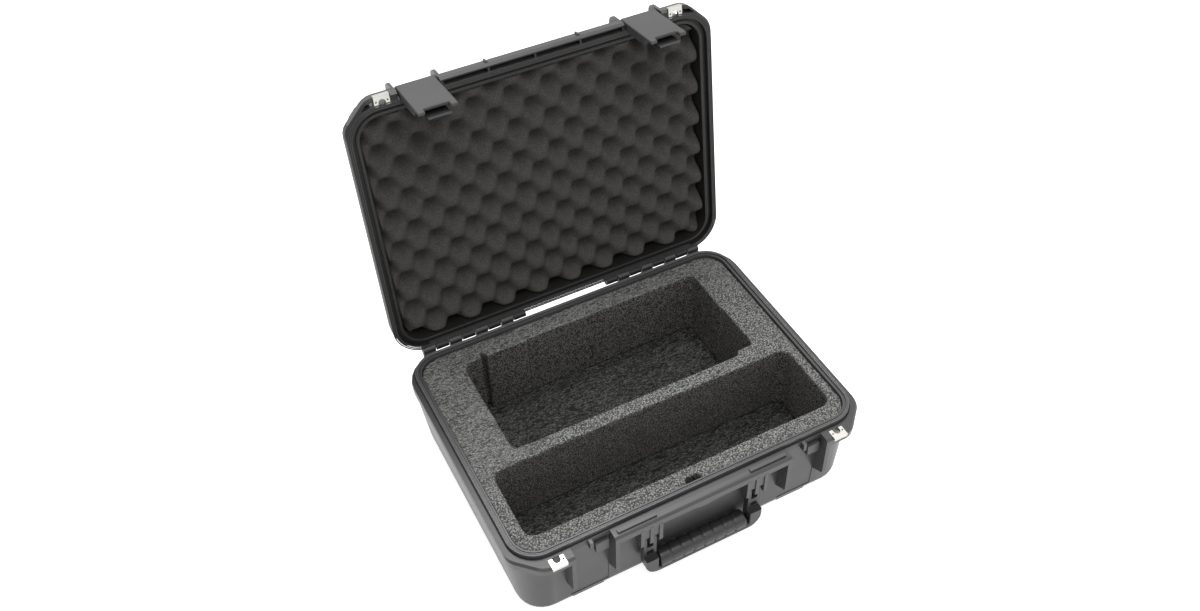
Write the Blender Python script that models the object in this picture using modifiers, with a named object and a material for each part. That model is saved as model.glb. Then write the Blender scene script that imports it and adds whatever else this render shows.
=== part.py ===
# Hard case for an audio mixer, shown with its lid standing open.
# Metres, +Z up, X along the case, the carrying handle faces -Y.
# The origin is the middle of the flat underside. Every piece is drawn where it sits
# with the lid closed, and the lid with all it carries is then turned open on the hinge.

import math

import bmesh
import bpy
from mathutils import Matrix, Vector

for leftover in list(bpy.data.objects):
    bpy.data.objects.remove(leftover, do_unlink=True)

# Overall sizes
case_length = 0.521
base_height = 0.134
lid_height = 0.058
lid_open_degrees = 98.0
clearance = 0.0003
overrun = 0.010

# Rim, measured outwards from the line of the sealing tongue
side_flange = 0.0080
front_shelf = 0.0182
front_edge_depth = 0.0028
front_edge_height = 0.0035
front_corner_cut = 0.0351
front_corner_round = 0.0240
back_flange = 0.0022
tongue_half_depth = 0.1864
tongue_corner_radius = 0.040
base_corner_extra = 0.005
lid_corner_extra = 0.017
corner_steps = 6
front_corner_steps = 7
flange_drop = 0.0035
skirt_height = 0.0135
skirt_lead_in = 0.0008
skirt_thickness = 0.0030
groove_outside = 0.0010
groove_inside = -0.0004
groove_depth = 0.0025
tongue_rise = 0.0020
tongue_width = 0.0030
tongue_taper = 0.0006
band_drop = 0.0005
lip_rise = 0.0006
lip_width = 0.0024
lip_step = 0.0002
rim_inset = 0.0091
part_line_gap = 0.0006

# Walls of the two shells: how far the outside stands from the tongue line
wall_head_side = 0.0060
wall_head_front = 0.0005
wall_head_back = 0.0002
wall_foot_side = -0.0065
wall_foot_front = -0.0036
wall_foot_back = -0.0065
wall_thickness = 0.0040
inner_draft = 0.0016
bottom_radius = 0.012
inner_radius = 0.006
underside_step = 0.0020
underside_edge = 0.0255
underside_slope = 0.0015
lid_top_radius = 0.014
lid_foot_share = 0.55

# Latch bays, ribs and catches on the front
bay_inset = 0.0950
bay_half_width = 0.0273
bay_ledge = 0.0024
bay_recess = 0.0008
bay_depth = 0.031
rib_thickness = 0.0055
rib_length = 0.0745
rib_foot_slope = 0.0125
rib_corner = 0.005
rib_root = 0.0066
catch_block_width = 0.0045
catch_block_offset = -0.0008
catch_block_foot = 0.0168
catch_block_proud = 0.0090
catch_plate_width = 0.0180
catch_plate_offset = 0.0143
catch_plate_head = 0.0145
catch_plate_foot = 0.0317
catch_plate_proud = 0.0080
foot_half_width = 0.0225
foot_inset = 0.0048

# Raised bars on the front shelf and the channel in the lid that takes them
bar_start_inset = 0.0095
bar_end_gap = 0.0010
bar_width = 0.0046
bar_height = 0.0030
bar_setback = 0.0079
channel_width = 0.0062
channel_setback = 0.0077
channel_depth = 0.0110
cross_rib_share = 0.41
cross_rib_thickness = 0.0030
corner_pocket_gap = 0.0012
corner_pocket_length = 0.0170
corner_pocket_bend = 0.0100
corner_pocket_bend_drop = 0.0020
corner_pocket_tip_out = 0.0043
edge_nub_radius = 0.0022
edge_nub_height = 0.008

# Padlock holes and their steel plates
padlock_inset = 0.0465
padlock_plate_width = 0.0205
padlock_plate_length = 0.0130
padlock_plate_thickness = 0.0012
padlock_lip_height = 0.0052
padlock_hole_radius = 0.0048
padlock_hole_setback = 0.0090
padlock_land = 0.0045
padlock_pocket_half_width = 0.0145
padlock_land_margin = 0.0012
padlock_rivet_radius = 0.0012
padlock_rivet_offset = 0.0075
padlock_rivet_setback = 0.0068

# Handle and its bracket
handle_bay_gap = 0.0790
tine_pitch = 0.0132
tine_thickness = 0.0052
tine_length = 0.0515
bracket_web_foot = 0.0365
bracket_web_thickness = 0.0022
bracket_web_setback = 0.0015
handle_pivot_drop = 0.0445
handle_pivot_out = 0.0081
handle_pin_radius = 0.0016
handle_finger_thickness = 0.0046
handle_finger_radius = 0.0055
handle_fork_width = 0.0186
handle_thickness = 0.0193
handle_proud = 0.0218
handle_drop = 0.0710
handle_corner_radius = 0.020
handle_inner_radius = 0.0030
handle_bar_height = 0.0075
handle_edge_round = 0.0022
handle_slot_foot = 0.0195
handle_front_cut = 0.0395
handle_window_head = 0.0275
handle_window_foot = 0.0350
grip_out = 0.0103
grip_radius = 0.0125
grip_end_gap = 0.0032
grip_rings = 8
grip_ring_depth = 0.0007
grip_ring_width = 0.0016
grip_end_round = 0.005
grip_sides = 20

# Hinge
hinge_setback = 0.0103
hinge_barrel_radius = 0.0058
hinge_pin_radius = 0.0016
hinge_inner_end = 0.0655
hinge_end_inset = 0.0269
knuckle_count = 8
knuckle_gap = 0.0018
hinge_web_root = 0.0014
hinge_web_head = 0.0045
hinge_web_shoulder = 0.0078
hinge_web_foot = 0.0170
hinge_gusset_head = 0.0065
hinge_gusset_foot = 0.0130
hinge_gusset_reach = 0.0057

# Latches
latch_width = 0.0512
latch_pivot_rise = 0.0095
latch_pivot_out = 0.0121
latch_head = 0.0136
latch_length = 0.0844
latch_face_out = 0.0177
latch_plate_thickness = 0.0048
latch_flange_thickness = 0.0018
latch_flange_inner = 0.0048
latch_flange_foot = 0.0540
latch_ear_radius = 0.0045
latch_pin_radius = 0.0015
latch_notch_width = 0.0330
latch_notch_depth = 0.0090
latch_notch_radius = 0.0030
latch_edge_round = 0.0010
lid_bay_half_width = 0.0280
lid_rib_thickness = 0.0040
lid_rib_head = 0.0360
lid_rib_round = 0.0130
lid_rib_shoulder = 0.0020
trigger_pivot_drop = 0.0440
trigger_pivot_out = 0.0100
trigger_pin_radius = 0.0012
trigger_width = 0.0420
trigger_tab_width = 0.0300
trigger_tab_set = 0.0022
trigger_thickness = 0.0024
trigger_foot = 0.0735
trigger_boss_radius = 0.0026
trigger_lip_height = 0.0040
trigger_lip_curl = 0.0014
trigger_hook_bite = 0.0020
trigger_hook_height = 0.0034
trigger_hook_width = 0.0165
trigger_hook_offset = 0.0110

# Gasket, valve and foam
gasket_height = 0.0034
gasket_groove_height = 0.0065
valve_drop = 0.030
valve_stem_radius = 0.0060
valve_flange_radius = 0.0095
valve_flange_thickness = 0.0026
valve_nut_radius = 0.0090
valve_nut_thickness = 0.0050
valve_boss_radius = 0.0104
valve_boss_rise = 0.0028
guard_half_width = 0.0140
guard_drop = 0.0026
floor_pad_thickness = 0.010
foam_recess = 0.0035
foam_gap = 0.0004
front_pocket_left_inset = 0.0285
front_pocket_right_inset = 0.0235
front_pocket_front = -0.1515
front_pocket_back = -0.0410
pocket_radius = 0.013
pocket_corner_steps = 3
rear_pocket_left_inset = 0.0685
rear_pocket_right_inset = 0.0625
rear_pocket_front = -0.0200
rear_pocket_back = 0.1500
rear_pocket_step = 0.0090
rear_pocket_step_length = 0.0260
rear_pocket_jog = 0.0030
rear_pocket_jog_place = 0.0660
rear_panel_length = 0.1000
rear_panel_step = 0.0020
rear_slot_inset = 0.0280
rear_slot_width = 0.0080
rear_slot_depth = 0.0090
valve_notch_width = 0.0220
valve_notch_length = 0.0110
valve_notch_depth = 0.0400
lid_foam_inset = 0.0012
lid_foam_base = 0.0210
lid_foam_peak = 0.0260
foam_wave_length = 0.052
foam_wave_depth = 0.049
foam_wave_shift = 0.021
foam_wave_inset = 0.0054
foam_wave_samples = 4

# Places worked out from the sizes above
tongue_half_length = case_length / 2 - side_flange
rim_z = base_height
flange_z = rim_z - flange_drop
skirt_z = flange_z - skirt_height
shelf_y = -(tongue_half_depth + front_shelf)
root_y = -(tongue_half_depth - rib_root)
ledge_y = -(tongue_half_depth + groove_outside + clearance)
lid_flange_z = flange_z + part_line_gap
lid_skirt_z = lid_flange_z + skirt_height
lid_top_z = rim_z + lid_height
floor_z = underside_step + wall_thickness
hinge_y = tongue_half_depth + hinge_setback
bar_y = shelf_y + bar_setback
channel_y = shelf_y + channel_setback
bay_offset = tongue_half_length - bay_inset
handle_offset = bay_offset - handle_bay_gap
padlock_offset = tongue_half_length - padlock_inset
hinge_outer_end = tongue_half_length - hinge_end_inset
bar_inner_end = handle_offset - bar_start_inset
bar_outer_end = bay_offset - bay_half_width - rib_thickness - bar_end_gap
channel_end = bay_offset - lid_bay_half_width - lid_rib_thickness / 2
cross_rib_pitch = bay_offset * cross_rib_share
grip_half_length = handle_offset - handle_fork_width / 2 - grip_end_gap
front_pocket_left = -(tongue_half_length - front_pocket_left_inset)
front_pocket_right = tongue_half_length - front_pocket_right_inset
rear_pocket_left = -(tongue_half_length - rear_pocket_left_inset)
rear_pocket_right = tongue_half_length - rear_pocket_right_inset
rear_panel_end = rear_pocket_left + rear_panel_length
rear_slot_left = rear_pocket_left + rear_slot_inset
bay_face_y = -(tongue_half_depth + bay_ledge)
wall_head = (wall_head_side, wall_head_front, wall_head_back)
wall_foot = (wall_foot_side, wall_foot_front, wall_foot_back)
flange_edge = (side_flange, front_shelf, back_flange)
flange_face = (side_flange - skirt_lead_in, front_shelf - front_edge_depth, back_flange - skirt_lead_in)
corner_extras = {"round": 0.0, "base wall": base_corner_extra, "lid wall": lid_corner_extra}
sides = (("left", -1.0), ("right", 1.0))

parts = bpy.data.collections.new("mixer_hard_case")
cutters = bpy.data.collections.new("cutters")
bpy.context.scene.collection.children.link(parts)
bpy.context.scene.collection.children.link(cutters)


# Materials
def make_material(name, colour, roughness, metallic=0.0):
    material = bpy.data.materials.new(name)
    material.use_nodes = True
    shader = material.node_tree.nodes["Principled BSDF"]
    shader.inputs["Base Color"].default_value = (*colour, 1.0)
    shader.inputs["Roughness"].default_value = roughness
    shader.inputs["Metallic"].default_value = metallic
    material.diffuse_color = (*colour, 1.0)
    return material


shell_plastic = make_material("shell_plastic", (0.085, 0.085, 0.090), 0.55)
latch_plastic = make_material("latch_plastic", (0.110, 0.110, 0.112), 0.50)
grip_rubber = make_material("grip_rubber", (0.030, 0.027, 0.026), 0.70)
seal_rubber = make_material("seal_rubber", (0.012, 0.012, 0.012), 0.60)
stainless = make_material("stainless", (0.80, 0.79, 0.76), 0.25, 1.0)
block_foam = make_material("block_foam", (0.100, 0.100, 0.098), 0.95)
wave_foam = make_material("wave_foam", (0.050, 0.045, 0.042), 0.95)


# Solids drawn as bmesh
def block(low, high):
    solid = bmesh.new()
    bmesh.ops.create_cube(solid, size=1.0)
    size = Vector(high) - Vector(low)
    middle = (Vector(high) + Vector(low)) / 2
    bmesh.ops.transform(solid, verts=solid.verts, matrix=Matrix.Translation(middle) @ Matrix.Diagonal((*size, 1.0)))
    return solid


def place(point, axis, along):
    if axis == "X":
        return (along, point[0], point[1])
    if axis == "Y":
        return (point[0], along, point[1])
    return (point[0], point[1], along)


def prism(outline, axis, low, high):
    solid = bmesh.new()
    face = solid.faces.new([solid.verts.new(place(point, axis, low)) for point in outline])
    grown = bmesh.ops.extrude_face_region(solid, geom=[face])["geom"]
    moved = [item for item in grown if isinstance(item, bmesh.types.BMVert)]
    shift = Vector(place((0.0, 0.0), axis, high - low))
    bmesh.ops.translate(solid, verts=moved, vec=shift)
    bmesh.ops.recalc_face_normals(solid, faces=solid.faces)
    return solid


def rod(axis, middle, radius, low, high, steps=16):
    turn = {"X": Matrix.Rotation(math.pi / 2, 4, "Y"), "Y": Matrix.Rotation(math.pi / 2, 4, "X"), "Z": Matrix()}[axis]
    centre = Vector(place(middle, axis, (low + high) / 2))
    solid = bmesh.new()
    bmesh.ops.create_cone(solid, cap_ends=True, segments=steps, radius1=radius, radius2=radius,
                          depth=high - low, matrix=Matrix.Translation(centre) @ turn)
    return solid


def arc(middle, radius, start, end, steps):
    points = []
    for step in range(steps + 1):
        angle = math.radians(start + (end - start) * step / steps)
        points.append((middle[0] + radius * math.cos(angle), middle[1] + radius * math.sin(angle)))
    return points


def grown_by(grow, extra):
    return tuple(value + extra for value in grow)


def round_corner(x, y, radius, start):
    return arc((x - math.copysign(radius, x), y + radius), radius, start, start + 90, front_corner_steps)


def cut_corner(x, y, start):
    radius = front_corner_round
    setback = front_corner_cut + radius * math.tan(math.pi / 8)
    steps = front_corner_steps // 2
    beside = (x - math.copysign(radius, x), y + setback)
    before = (x - math.copysign(setback, x), y + radius)
    first, second = (beside, before) if x < 0 else (before, beside)
    return arc(first, radius, start, start + 45, steps) + arc(second, radius, start + 45, start + 90, steps)


# One ring of the two shells. The front corners are cut off on the flange, and eased on the walls.
def ring(grow, z, corner="round"):
    side, front, back = grow if isinstance(grow, tuple) else (grow, grow, grow)
    radius = max(tongue_corner_radius + side, inner_radius)
    wide = tongue_half_length + side
    rear = tongue_half_depth + back
    fore = -(tongue_half_depth + front)
    points = arc((wide - radius, rear - radius), radius, 0, 90, corner_steps)
    points += arc((radius - wide, rear - radius), radius, 90, 180, corner_steps)
    if corner == "cut":
        points += cut_corner(-wide, fore, 180) + cut_corner(wide, fore, 270)
    else:
        eased = radius + corner_extras[corner]
        points += round_corner(-wide, fore, eased, 180) + round_corner(wide, fore, eased, 270)
    return [(x, y, z) for x, y in points]


def shell_ring(row, wall):
    grow, z = row
    if grow in (flange_edge, flange_face, grown_by(flange_edge, -clearance)):
        return ring(grow, z, "cut")
    if isinstance(grow, tuple):
        return ring(grow, z, wall)
    return ring(grow, z)


def loft(rings, closed=False):
    solid = bmesh.new()
    loops = [[solid.verts.new(point) for point in points] for points in rings]
    pairs = list(zip(loops, loops[1:]))
    if closed:
        pairs.append((loops[-1], loops[0]))
    for lower, upper in pairs:
        for index in range(len(lower)):
            after = (index + 1) % len(lower)
            solid.faces.new((lower[index], lower[after], upper[after], upper[index]))
    if not closed:
        solid.faces.new(loops[0])
        solid.faces.new(loops[-1])
    bmesh.ops.recalc_face_normals(solid, faces=solid.faces)
    return solid


# Objects and the joining or cutting of them
def make_object(name, solid, collection, material=None):
    mesh = bpy.data.meshes.new(name)
    solid.to_mesh(mesh)
    solid.free()
    piece = bpy.data.objects.new(name, mesh)
    collection.objects.link(piece)
    if material:
        mesh.materials.append(material)
    return piece


def make_piece(name, solid, material):
    return make_object(name, solid, parts, material)


def boolean(piece, solids, operation):
    tools = []
    for solid in solids:
        tool = make_object("tool", solid, cutters)
        tool.hide_render = True
        tool.display_type = "WIRE"
        step = piece.modifiers.new("step", "BOOLEAN")
        step.operation = operation
        step.solver = "EXACT"
        step.object = tool
        tools.append(tool)
    bake(piece)
    for tool in tools:
        bpy.data.objects.remove(tool, do_unlink=True)


def bake(piece):
    view = bpy.context.evaluated_depsgraph_get()
    mesh = bpy.data.meshes.new_from_object(piece.evaluated_get(view))
    piece.modifiers.clear()
    piece.data = mesh
    clean = bmesh.new()
    clean.from_mesh(mesh)
    bmesh.ops.remove_doubles(clean, verts=clean.verts, dist=1e-6)
    bmesh.ops.dissolve_degenerate(clean, edges=clean.edges, dist=1e-6)
    clean.to_mesh(mesh)
    clean.free()


def fuse(piece, *solids):
    boolean(piece, solids, "UNION")


def carve(piece, *solids):
    boolean(piece, solids, "DIFFERENCE")


def soften(piece, width, segments=1, angle=40.0):
    bevel = piece.modifiers.new("soften", "BEVEL")
    bevel.width = width
    bevel.segments = segments
    bevel.limit_method = "ANGLE"
    bevel.angle_limit = math.radians(angle)
    bake(piece)


def shade(piece, angle=35.0):
    piece.data.shade_smooth()
    piece.data.set_sharp_from_angle(angle=math.radians(angle))


# Joint axes are empties, and what moves hangs on them
axis_places = {}


def make_axis(name, position, parent=None):
    axis = bpy.data.objects.new(name, None)
    parts.objects.link(axis)
    axis_places[name] = Vector(position)
    axis.parent = parent
    axis.location = Vector(position) - (axis_places[parent.name] if parent else Vector())
    return axis


def hang(piece, axis):
    piece.data.transform(Matrix.Translation(-axis_places[axis.name]))
    piece.parent = axis


def fillet_rows(edge, radius, level, direction, steps=3):
    rows = []
    for step in range(steps + 1):
        angle = math.pi / 2 * step / steps
        rows.append((grown_by(edge, -radius * (1 - math.sin(angle))), level + direction * radius * (1 - math.cos(angle))))
    return rows


# Lower shell
def base_profile():
    inner_head = -rim_inset
    inner_foot = -(rim_inset + inner_draft)
    tongue_inside = groove_inside - tongue_taper / 2
    tongue_outside = tongue_inside - tongue_width
    lip_outer = inner_head + lip_width
    rows = [(-underside_edge, 0.0), (-underside_edge + underside_slope, underside_step)]
    rows += fillet_rows(wall_foot, bottom_radius, underside_step, 1)
    rows += [(wall_head, skirt_z), (grown_by(flange_edge, -clearance), skirt_z),
             (flange_edge, flange_z - front_edge_height), (flange_face, flange_z),
             (groove_outside, flange_z), (groove_outside, flange_z - groove_depth),
             (groove_inside, flange_z - groove_depth), (tongue_inside, rim_z + tongue_rise - tongue_taper),
             (tongue_inside - tongue_taper, rim_z + tongue_rise), (tongue_outside, rim_z + tongue_rise),
             (tongue_outside - tongue_taper, rim_z - band_drop), (lip_outer, rim_z - band_drop),
             (lip_outer - lip_step, rim_z + lip_rise), (inner_head + lip_step, rim_z + lip_rise), (inner_head, rim_z)]
    rows.append((inner_foot, floor_z + inner_radius))
    rows.append((inner_foot - inner_radius, floor_z))
    return [shell_ring(row, "base wall") for row in rows]


def rib_outline():
    foot = rim_z - rib_length
    outline = [(root_y, foot - rib_foot_slope)]
    outline += arc((shelf_y + rib_corner, foot + rib_corner), rib_corner, 270, 180, 3)
    outline += [(shelf_y, flange_z - front_edge_height), (shelf_y + front_edge_depth, flange_z), (ledge_y, flange_z)]
    outline += [(ledge_y, skirt_z + skirt_thickness), (root_y, skirt_z + skirt_thickness)]
    return outline


def catch_outline():
    out = -(tongue_half_depth + catch_block_proud)
    foot = rim_z - catch_block_foot
    head = flange_z - clearance
    return [(out, foot), (out, head), (ledge_y, head), (ledge_y, skirt_z + skirt_thickness),
            (root_y, skirt_z + skirt_thickness), (root_y, foot)]


def tine_outline():
    foot = rim_z - tine_length
    outline = [(root_y, foot + handle_finger_radius)]
    outline += [(shelf_y + rib_corner + skirt_thickness, foot)]
    outline += arc((shelf_y + skirt_thickness, foot + skirt_thickness), skirt_thickness, 270, 180, 2)
    outline += [(shelf_y, skirt_z + skirt_thickness), (root_y, skirt_z + skirt_thickness)]
    return outline


def recess_outline():
    low = -(tongue_half_depth + wall_foot_front) + bay_recess
    high = -(tongue_half_depth + wall_head_front) + bay_recess
    return [(shelf_y - overrun, underside_step + bottom_radius), (low, underside_step + bottom_radius),
            (high, skirt_z), (high, skirt_z + overrun / 2), (shelf_y - overrun, skirt_z + overrun / 2)]


def knuckle_outline(flip):
    barrel = arc((0.0, 0.0), hinge_barrel_radius, -50, 215, 10)
    root = hinge_web_root - hinge_setback
    web = [(-hinge_web_shoulder, -hinge_web_head), (root, -hinge_web_head), (root, -hinge_web_foot)]
    return [(hinge_y + y, rim_z + flip * z) for y, z in barrel + web]


def knuckles(carried_by_base):
    pitch = (hinge_outer_end - hinge_inner_end) / knuckle_count
    solids = []
    for name, sign in sides:
        for index in range(knuckle_count):
            if (index % 2 == 0) != carried_by_base:
                continue
            far = hinge_outer_end - pitch * index - knuckle_gap / 2
            near = far - pitch + knuckle_gap
            low, high = sorted((sign * far, sign * near))
            solids.append(prism(knuckle_outline(1 if carried_by_base else -1), "X", low, high))
    return solids


def hinge_holes():
    reach = hinge_outer_end + overrun
    radius = hinge_pin_radius + clearance
    return [rod("X", (hinge_y, rim_z), radius, min(sign * reach, sign * hinge_inner_end - sign * overrun),
                max(sign * reach, sign * hinge_inner_end - sign * overrun)) for name, sign in sides]


def hinge_gussets(flip):
    head = flip * hinge_gusset_head
    foot = flip * hinge_gusset_foot
    root = hinge_y + hinge_web_root - hinge_setback
    outline = [(root, rim_z - head), (root + hinge_gusset_reach, rim_z - head), (root, rim_z - foot)]
    return [prism(outline, "X", min(sign * hinge_inner_end, sign * hinge_outer_end),
                  max(sign * hinge_inner_end, sign * hinge_outer_end)) for name, sign in sides]


def padlock_land_block(sign, low, high):
    middle = sign * padlock_offset
    half = padlock_plate_width / 2 + padlock_land_margin
    return block((middle - half, shelf_y, low), (middle + half, shelf_y + front_edge_depth + padlock_land_margin, high))


def padlock_pocket(sign, low, high):
    middle = sign * padlock_offset
    return block((middle - padlock_pocket_half_width, shelf_y + skirt_thickness, low),
                 (middle + padlock_pocket_half_width, -(tongue_half_depth + bay_ledge), high))


def padlock_seat(sign, low, high):
    middle = sign * padlock_offset
    half = padlock_plate_width / 2 + clearance
    return block((middle - half, shelf_y - overrun, low),
                 (middle + half, shelf_y + padlock_plate_length + clearance, high))


def padlock_hole(sign, low, high):
    return rod("Z", (sign * padlock_offset, shelf_y + padlock_hole_setback), padlock_hole_radius, low, high)


def guard_outline():
    sag = guard_drop
    radius = (guard_half_width ** 2 + sag ** 2) / (2 * sag)
    spread = math.degrees(math.asin(guard_half_width / radius))
    outline = arc((0.0, skirt_z - sag + radius), radius, 270 - spread, 270 + spread, 6)
    return outline + [(guard_half_width, skirt_z + skirt_thickness), (-guard_half_width, skirt_z + skirt_thickness)]


def build_base_shell():
    shell = make_piece("base_shell", loft(base_profile()), shell_plastic)
    pivot = (-(tongue_half_depth + handle_pivot_out), rim_z - handle_pivot_drop)
    cuts = []
    joins = []
    for name, sign in sides:
        bay = sign * bay_offset
        cuts.append(block((bay - bay_half_width, shelf_y - overrun, skirt_z - overrun / 2),
                          (bay + bay_half_width, bay_face_y, rim_z + overrun / 2)))
        cuts.append(prism(recess_outline(), "X", bay - bay_half_width, bay + bay_half_width))
        for offset in (-1, 1):
            middle = bay + offset * (bay_half_width + rib_thickness / 2)
            joins.append(prism(rib_outline(), "X", middle - rib_thickness / 2, middle + rib_thickness / 2))
        block_middle = bay + catch_block_offset
        joins.append(prism(catch_outline(), "X", block_middle - catch_block_width / 2,
                           block_middle + catch_block_width / 2))
        plate_middle = bay + catch_plate_offset
        joins.append(block((plate_middle - catch_plate_width / 2, -(tongue_half_depth + catch_plate_proud),
                            rim_z - catch_plate_foot),
                           (plate_middle + catch_plate_width / 2, root_y, rim_z - catch_plate_head)))
        joins.append(block((bay - foot_half_width, -(tongue_half_depth + wall_foot_front) + foot_inset, 0.0),
                           (bay + foot_half_width, -(tongue_half_depth - underside_edge) + overrun / 2,
                            floor_z - underside_step)))
        joins.append(block((bay - foot_half_width, tongue_half_depth - underside_edge - overrun / 2, 0.0),
                           (bay + foot_half_width, tongue_half_depth + wall_foot_back - bottom_radius / 2,
                            floor_z - underside_step)))
        low, high = sorted((sign * bar_inner_end, sign * bar_outer_end))
        joins.append(block((low, bar_y - bar_width / 2, flange_z - bar_height),
                           (high, bar_y + bar_width / 2, flange_z + bar_height)))
        joins.append(padlock_land_block(sign, flange_z - padlock_land, flange_z))
        for offset in (-1, 0, 1):
            middle = sign * handle_offset + offset * tine_pitch
            joins.append(prism(tine_outline(), "X", middle - tine_thickness / 2, middle + tine_thickness / 2))
        reach = tine_pitch + tine_thickness / 2 - clearance
        web_y = shelf_y + bracket_web_setback
        joins.append(block((sign * handle_offset - reach, web_y, rim_z - bracket_web_foot),
                           (sign * handle_offset + reach, web_y + bracket_web_thickness, skirt_z + skirt_thickness)))
    joins.append(prism(guard_outline(), "Y", shelf_y + clearance, shelf_y + bracket_web_thickness))
    wall_y = -(tongue_half_depth + wall_head_front)
    joins.append(rod("Y", (0.0, rim_z - valve_drop), valve_boss_radius, -(tongue_half_depth - rim_inset) - valve_boss_rise / 2,
                     -(tongue_half_depth - rim_inset) + valve_boss_rise, 20))
    joins.append(rod("Y", (0.0, rim_z - valve_drop), valve_boss_radius, wall_y - valve_boss_rise, root_y, 20))
    carve(shell, *cuts)
    fuse(shell, *joins, *knuckles(True), *hinge_gussets(1))
    holes = hinge_holes()
    holes.append(rod("Y", (0.0, rim_z - valve_drop), valve_stem_radius + clearance, shelf_y - overrun, 0.0 - front_pocket_right / 2, 20))
    for name, sign in sides:
        middle = sign * handle_offset
        holes.append(rod("X", pivot, handle_pin_radius + clearance, middle - tine_pitch - overrun, middle + tine_pitch + overrun))
        holes.append(padlock_pocket(sign, skirt_z - overrun, flange_z - padlock_land))
        holes.append(padlock_seat(sign, flange_z - padlock_plate_thickness - 2 * clearance, flange_z + overrun))
        holes.append(padlock_hole(sign, skirt_z - overrun, rim_z))
    carve(shell, *holes)
    shade(shell)
    return shell


# Lid shell
def lid_profile():
    inner_head = -rim_inset
    inner_foot = -(rim_inset + inner_draft)
    groove_outer = -groove_inside
    groove_inner = groove_inside - tongue_width - 2 * tongue_taper
    head = tuple(foot + (top - foot) * lid_foot_share for foot, top in zip(wall_foot, wall_head))
    rows = [(-underside_edge, lid_top_z)]
    rows += fillet_rows(head, lid_top_radius, lid_top_z, -1)
    rows += [(wall_head, lid_skirt_z), (grown_by(flange_edge, -clearance), lid_skirt_z),
             (flange_edge, lid_flange_z + front_edge_height), (flange_face, lid_flange_z),
             (groove_outer, lid_flange_z), (groove_outer, rim_z + gasket_groove_height),
             (groove_inner, rim_z + gasket_groove_height), (groove_inner, rim_z + 2 * lip_rise),
             (inner_head, rim_z + 2 * lip_rise), (inner_foot, lid_top_z - wall_thickness - inner_radius),
             (inner_foot - inner_radius, lid_top_z - wall_thickness)]
    return [shell_ring(row, "lid wall") for row in rows]


def lid_rib_outline():
    top = rim_z + lid_rib_head
    root = -(tongue_half_depth + wall_head_front - wall_thickness / 2)
    shoulder = lid_skirt_z - lid_rib_shoulder
    outline = [(ledge_y, lid_flange_z), (shelf_y + front_edge_depth, lid_flange_z),
               (shelf_y, lid_flange_z + front_edge_height)]
    outline += arc((shelf_y + lid_rib_round, top - lid_rib_round), lid_rib_round, 180, 90, 5)
    outline += [(root, top), (root, shoulder), (ledge_y, shoulder)]
    return outline


def lid_channels():
    solids = []
    low_y = channel_y - channel_width / 2
    high_y = channel_y + channel_width / 2
    half = cross_rib_thickness / 2
    for name, sign in sides:
        for start, end in ((half, cross_rib_pitch - half), (cross_rib_pitch + half, channel_end)):
            low, high = sorted((sign * start, sign * end))
            solids.append(block((low, low_y, lid_flange_z - overrun), (high, high_y, lid_flange_z + channel_depth)))
        start = padlock_offset + padlock_plate_width / 2 + corner_pocket_gap
        tip = (start + corner_pocket_length, -(tongue_half_depth + corner_pocket_tip_out))
        outline = [(start, high_y), tip, (start + corner_pocket_bend, low_y + corner_pocket_bend_drop), (start, low_y)]
        solids.append(prism([(sign * x, y) for x, y in outline], "Z", lid_flange_z - overrun, lid_flange_z + channel_depth))
    return solids


def build_lid_shell(axis):
    shell = make_piece("lid_shell", loft(lid_profile()), shell_plastic)
    pivot = (-(tongue_half_depth + latch_pivot_out), rim_z + latch_pivot_rise)
    cuts = lid_channels()
    joins = []
    holes = hinge_holes()
    for name, sign in sides:
        bay = sign * bay_offset
        cuts.append(block((bay - lid_bay_half_width, shelf_y - overrun, lid_flange_z - overrun),
                          (bay + lid_bay_half_width, bay_face_y, lid_skirt_z + overrun / 2)))
        for offset in (-1, 1):
            middle = bay + offset * (lid_bay_half_width + lid_rib_thickness / 2)
            joins.append(prism(lid_rib_outline(), "X", middle - lid_rib_thickness / 2, middle + lid_rib_thickness / 2))
        joins.append(padlock_land_block(sign, lid_flange_z, lid_flange_z + padlock_land))
        joins.append(rod("Z", (sign * cross_rib_pitch, shelf_y), edge_nub_radius, lid_skirt_z - edge_nub_height,
                         lid_skirt_z - clearance, 8))
        holes.append(rod("X", pivot, latch_pin_radius + clearance, bay - bay_half_width - overrun,
                         bay + bay_half_width + overrun))
        holes.append(padlock_pocket(sign, lid_flange_z + padlock_land, lid_skirt_z + overrun))
        holes.append(padlock_seat(sign, lid_flange_z - overrun, lid_flange_z + padlock_plate_thickness + 2 * clearance))
        holes.append(padlock_hole(sign, lid_flange_z - overrun, lid_skirt_z + overrun))
    carve(shell, *cuts)
    fuse(shell, *joins, *knuckles(False), *hinge_gussets(-1))
    carve(shell, *holes)
    shade(shell)
    hang(shell, axis)
    return shell


def build_gasket(axis):
    outer = -groove_inside - clearance
    inner = groove_inside - tongue_width - 2 * tongue_taper + clearance
    high = rim_z + gasket_groove_height - clearance
    low = high - gasket_height
    rings = [ring(outer, low), ring(inner, low), ring(inner, high), ring(outer, high)]
    gasket = make_piece("lid_gasket", loft(rings, closed=True), seal_rubber)
    shade(gasket)
    hang(gasket, axis)


# Steel parts
def build_hinge_pins():
    for name, sign in sides:
        low, high = sorted((sign * (hinge_inner_end + knuckle_gap), sign * (hinge_outer_end - knuckle_gap)))
        pin = make_piece("hinge_pin_" + name, rod("X", (hinge_y, rim_z), hinge_pin_radius, low, high, 12), stainless)
        shade(pin)


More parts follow.
